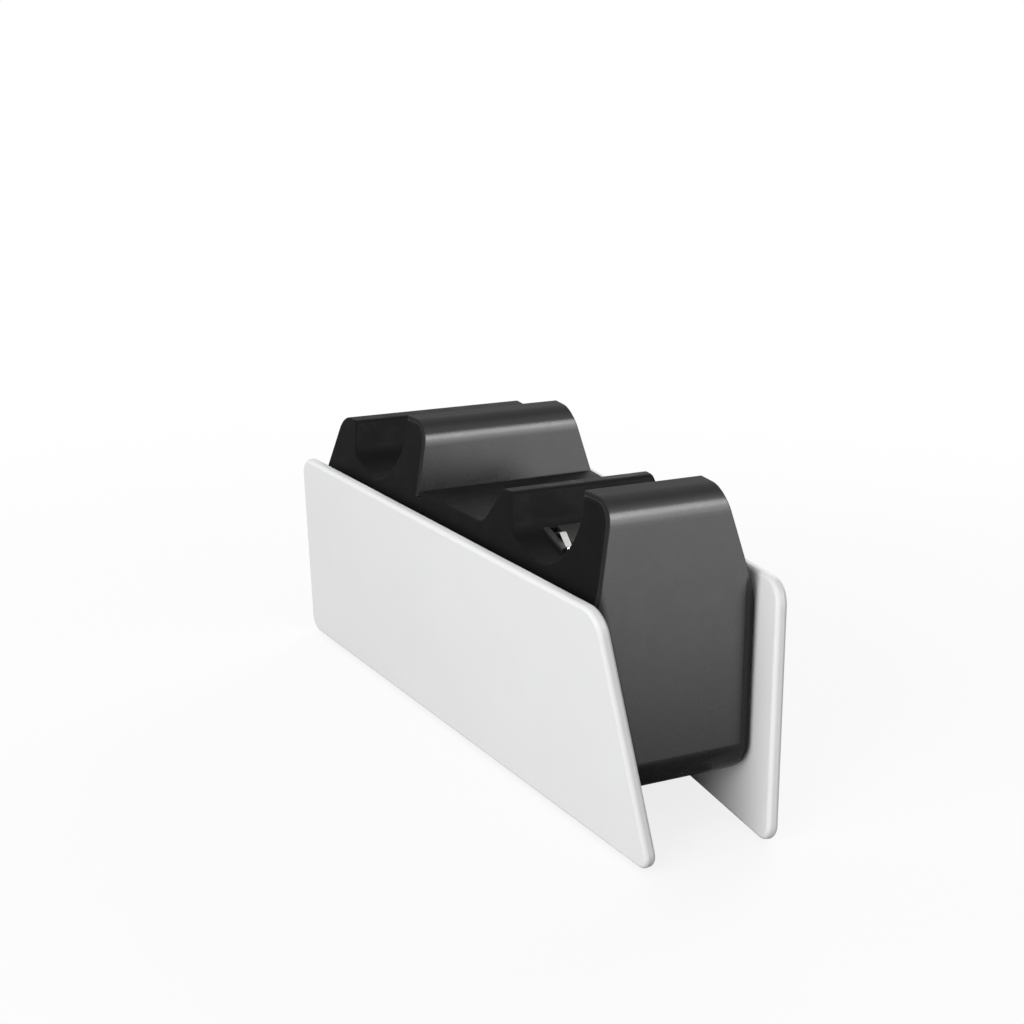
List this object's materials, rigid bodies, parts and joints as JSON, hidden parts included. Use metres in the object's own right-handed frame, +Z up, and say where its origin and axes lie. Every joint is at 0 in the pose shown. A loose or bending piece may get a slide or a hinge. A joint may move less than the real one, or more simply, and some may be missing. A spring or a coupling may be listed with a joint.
{
  "type": "controller charging dock",
  "caption": "Tabletop charging dock: leaning white wings carry a black cradle body with scooped seats one behind another, bent satin lip covers, spring contacts and a rear supply socket.",
  "frame": {"origin": "middle of the footprint at table level, straight under the middle of the bounding box", "axes": "+Z up, the front cover faces -Y, +X to the right seen from the front"},
  "size_m": [0.0606, 0.1487, 0.0649],
  "materials": {
    "wing": "white satin moulding, fine grain",
    "cover": "black satin moulding",
    "body": "black matte moulding",
    "base": "black textured moulding",
    "foot": "black soft rubber",
    "ballast": "zinc grey, dull",
    "screw": "bright zinc",
    "insulator": "black moulding",
    "board": "green lacquered laminate",
    "contact": "bright nickel plate",
    "component": "dark moulded cases",
    "lead_socket": "off-white moulding",
    "lead": "dark flat cable",
    "socket_shell": "drawn steel, satin",
    "socket_tongue": "black moulding"
  },
  "bodies": {
    "root": {"ballast_plate": "ballast", "base_plate": "base", "base_screws": "screw", "board_parts": "component", "board_screws": "screw", "contact_screws": "screw", "cradle_body": "body", "foot_front_left": "foot", "foot_front_right": "foot", "foot_rear_left": "foot", "foot_rear_right": "foot", "front_contact_block": "insulator", "front_contact_board": "board", "front_contact_left": "contact", "front_contact_right": "contact", "front_cover": "cover", "front_lead": "lead", "lead_sockets": "lead_socket", "left_wing": "wing", "main_board": "board", "middle_cover": "cover", "rear_contact_block": "insulator", "rear_contact_board": "board", "rear_contact_left": "contact", "rear_contact_right": "contact", "rear_lead": "lead", "right_wing": "wing", "usb_shell": "socket_shell", "usb_tongue": "socket_tongue", "wing_screws": "screw"}
  },
  "joints": []
}
